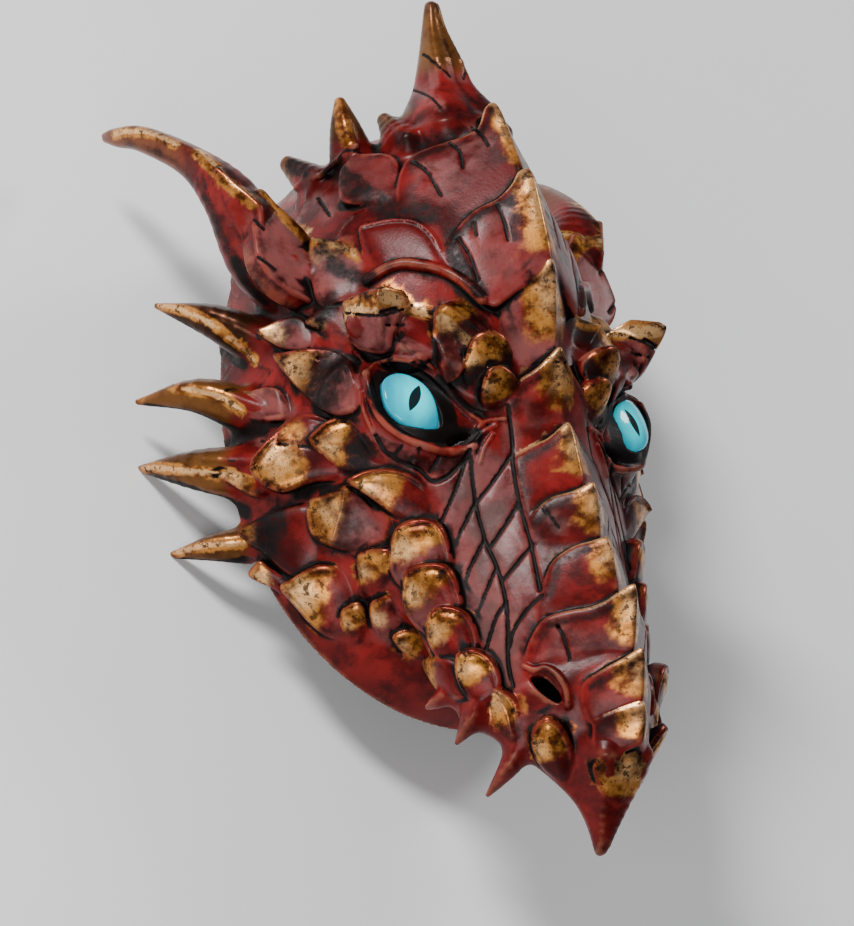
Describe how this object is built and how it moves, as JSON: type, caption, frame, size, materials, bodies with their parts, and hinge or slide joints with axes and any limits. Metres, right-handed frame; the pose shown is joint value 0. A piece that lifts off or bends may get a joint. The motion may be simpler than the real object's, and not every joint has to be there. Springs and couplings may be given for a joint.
{
  "type": "dragon mask",
  "caption": "Moulded latex dragon head mask with a hooked snout, a finned crest, horns, side spikes, overlapping scales and domed cyan eye lenses, lying face up.",
  "frame": {"origin": "below the middle of the mask's outline, on the surface that it lies on, face up", "axes": "+X to the wearer's left, +Y from the beak to the crown horn, +Z the way the face looks, away from the wearer"},
  "size_m": [0.232, 0.3858, 0.1645],
  "materials": {
    "latex": "red latex, painted with gold scale tips, pink and grey between them, half gloss",
    "lens": "glossy cyan lens with a dark slit pupil"
  },
  "bodies": {
    "root": {"mask_shell": "latex", "eye_lens_right": "lens", "eye_lens_left": "lens"}
  },
  "joints": []
}
